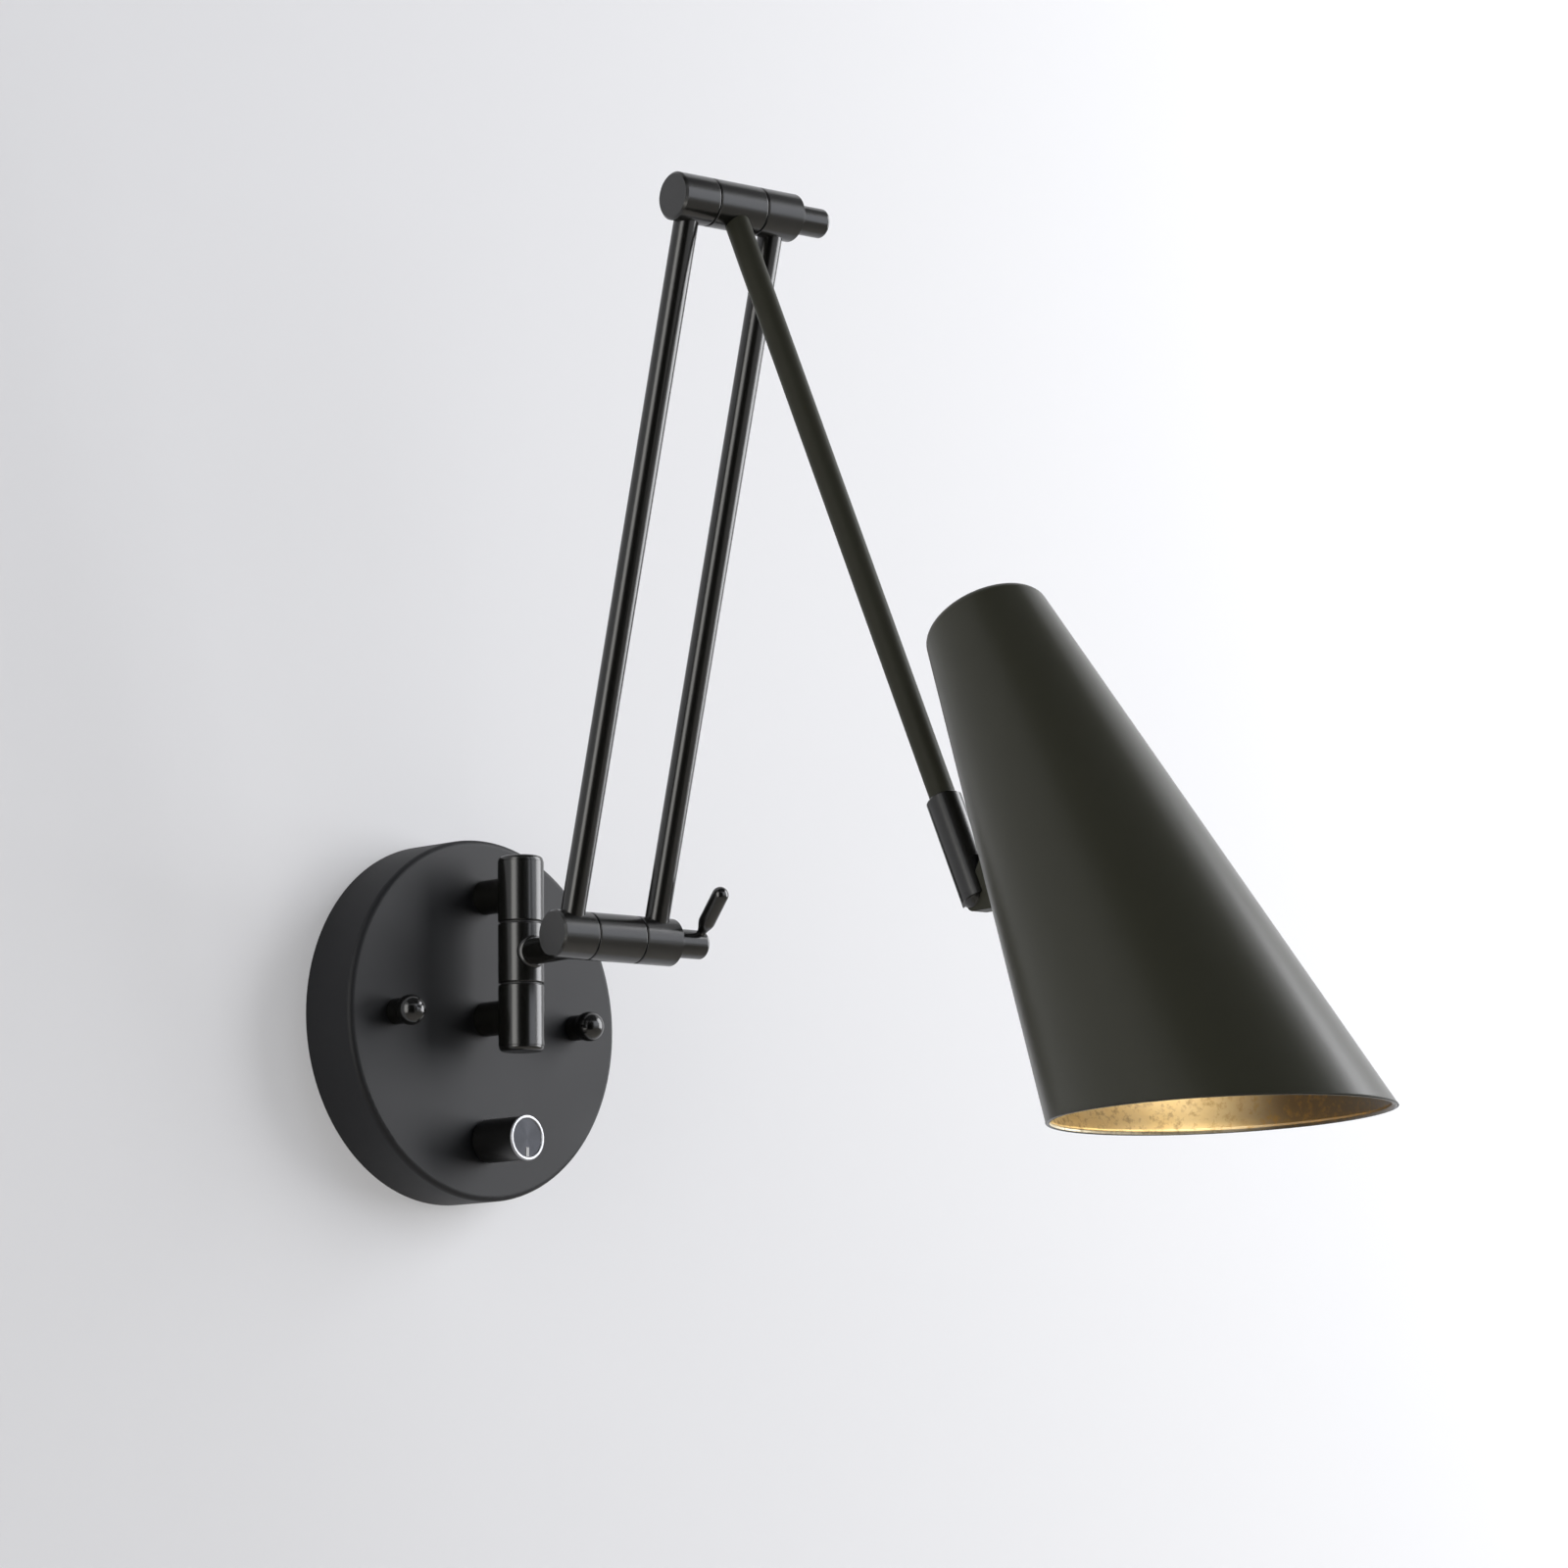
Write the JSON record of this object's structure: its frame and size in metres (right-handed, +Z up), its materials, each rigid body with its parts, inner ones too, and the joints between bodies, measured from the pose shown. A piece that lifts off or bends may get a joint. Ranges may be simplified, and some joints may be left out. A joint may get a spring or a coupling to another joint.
{
  "type": "adjustable wall lamp",
  "caption": "Wall lamp with a round canopy, a swivelling hinge, two friction elbows, parallel rods, a tilting conical shade and a rotary dimmer knob.",
  "frame": {"origin": "middle of the canopy's wall side, on the wall", "axes": "+Y into the wall, -Y out into the room, +Z up, +X to the right of someone facing the wall"},
  "size_m": [0.1565, 0.421, 0.3151],
  "materials": {
    "canopy_black": "satin black powder coat",
    "arm_black": "semi-gloss black enamel",
    "hardware_black": "semi-gloss black plating",
    "shade_black_gold": "satin black outside, brushed antique gold inside",
    "knob_black": "satin black with a dark grey face",
    "bright_ring": "polished bright metal",
    "zinc_steel": "zinc plated steel",
    "washer_nylon": "black nylon",
    "dimmer_plastic": "black moulded plastic",
    "terminal_plastic": "ivory moulded plastic",
    "screw_brass": "plain brass",
    "bracket_brass": "satin brass strip",
    "holder_plastic": "black thermoplastic",
    "cap_aluminium": "rolled thread cap",
    "opal_glass": "opal white glass"
  },
  "bodies": {
    "base": {"canopy": "canopy_black", "wall_crossbar": "zinc_steel", "canopy_studs": "zinc_steel", "stud_nuts": "zinc_steel", "cap_nuts": "hardware_black", "hinge_posts": "arm_black", "post_washers": "zinc_steel", "post_nuts": "zinc_steel", "upper_knuckle": "arm_black", "lower_knuckle": "arm_black", "hinge_caps": "arm_black", "hinge_washers": "washer_nylon", "hinge_pin": "zinc_steel", "dimmer_body": "dimmer_plastic", "dimmer_nut": "zinc_steel", "terminal_block": "terminal_plastic", "earth_screw": "screw_brass"},
    "dimmer_dial": {"dimmer_shaft": "zinc_steel", "knob_body": "knob_black", "knob_ring": "bright_ring", "knob_pointer": "bright_ring"},
    "swing_bracket": {"middle_knuckle": "arm_black", "spigot": "arm_black", "lower_middle_hub": "arm_black"},
    "lower_arm": {"lower_plain_hub": "arm_black", "lower_clamp_hub": "arm_black", "lower_elbow_bolt": "zinc_steel", "lower_elbow_washers": "washer_nylon", "left_rod": "arm_black", "right_rod": "arm_black", "upper_plain_hub": "arm_black", "upper_clamp_hub": "arm_black", "upper_elbow_bolt": "zinc_steel", "upper_elbow_washers": "washer_nylon", "upper_nose_nut": "hardware_black"},
    "clamp_handle": {"clamp_nut": "hardware_black", "clamp_lever": "hardware_black"},
    "upper_arm": {"upper_middle_hub": "arm_black", "upper_arm": "arm_black", "arm_sleeve": "arm_black", "shade_pivot_pin": "arm_black"},
    "shade": {"shade_shell": "shade_black_gold", "shade_tab": "arm_black", "tab_screws": "screw_brass", "lampholder_bracket": "bracket_brass", "lampholder": "holder_plastic", "bulb_cap": "cap_aluminium", "bulb_glass": "opal_glass"}
  },
  "joints": [
    {"name": "wall_swivel", "type": "hinge", "parent": "base", "child": "swing_bracket", "pos_m": [0, -0.0385, 0.0205], "axis": [0, 0, 1], "range_deg": [-70, 74]},
    {"name": "lower_elbow", "type": "hinge", "parent": "swing_bracket", "child": "lower_arm", "pos_m": [-0.00769, -0.08821, 0.0205], "axis": [-0.9882, 0.153, 0], "range_deg": [-65, 28]},
    {"name": "upper_elbow", "type": "hinge", "parent": "lower_arm", "child": "upper_arm", "pos_m": [-0.0181, -0.15545, 0.24731], "axis": [0.9882, -0.153, 0], "range_deg": [-95, 36]},
    {"name": "shade_tilt", "type": "hinge", "parent": "upper_arm", "child": "shade", "pos_m": [-0.0358, -0.26977, 0.01223], "axis": [0.9882, -0.153, 0], "range_deg": [-9, 60]},
    {"name": "clamp_turn", "type": "hinge", "parent": "lower_arm", "child": "clamp_handle", "pos_m": [-0.00769, -0.08821, 0.0205], "axis": [0.9882, -0.153, 0], "range_deg": [0, 100]},
    {"name": "dimmer_turn", "type": "hinge", "parent": "base", "child": "dimmer_dial", "pos_m": [0, 0, -0.0402], "axis": [0, 1, 0], "range_deg": [0, 300]}
  ]
}
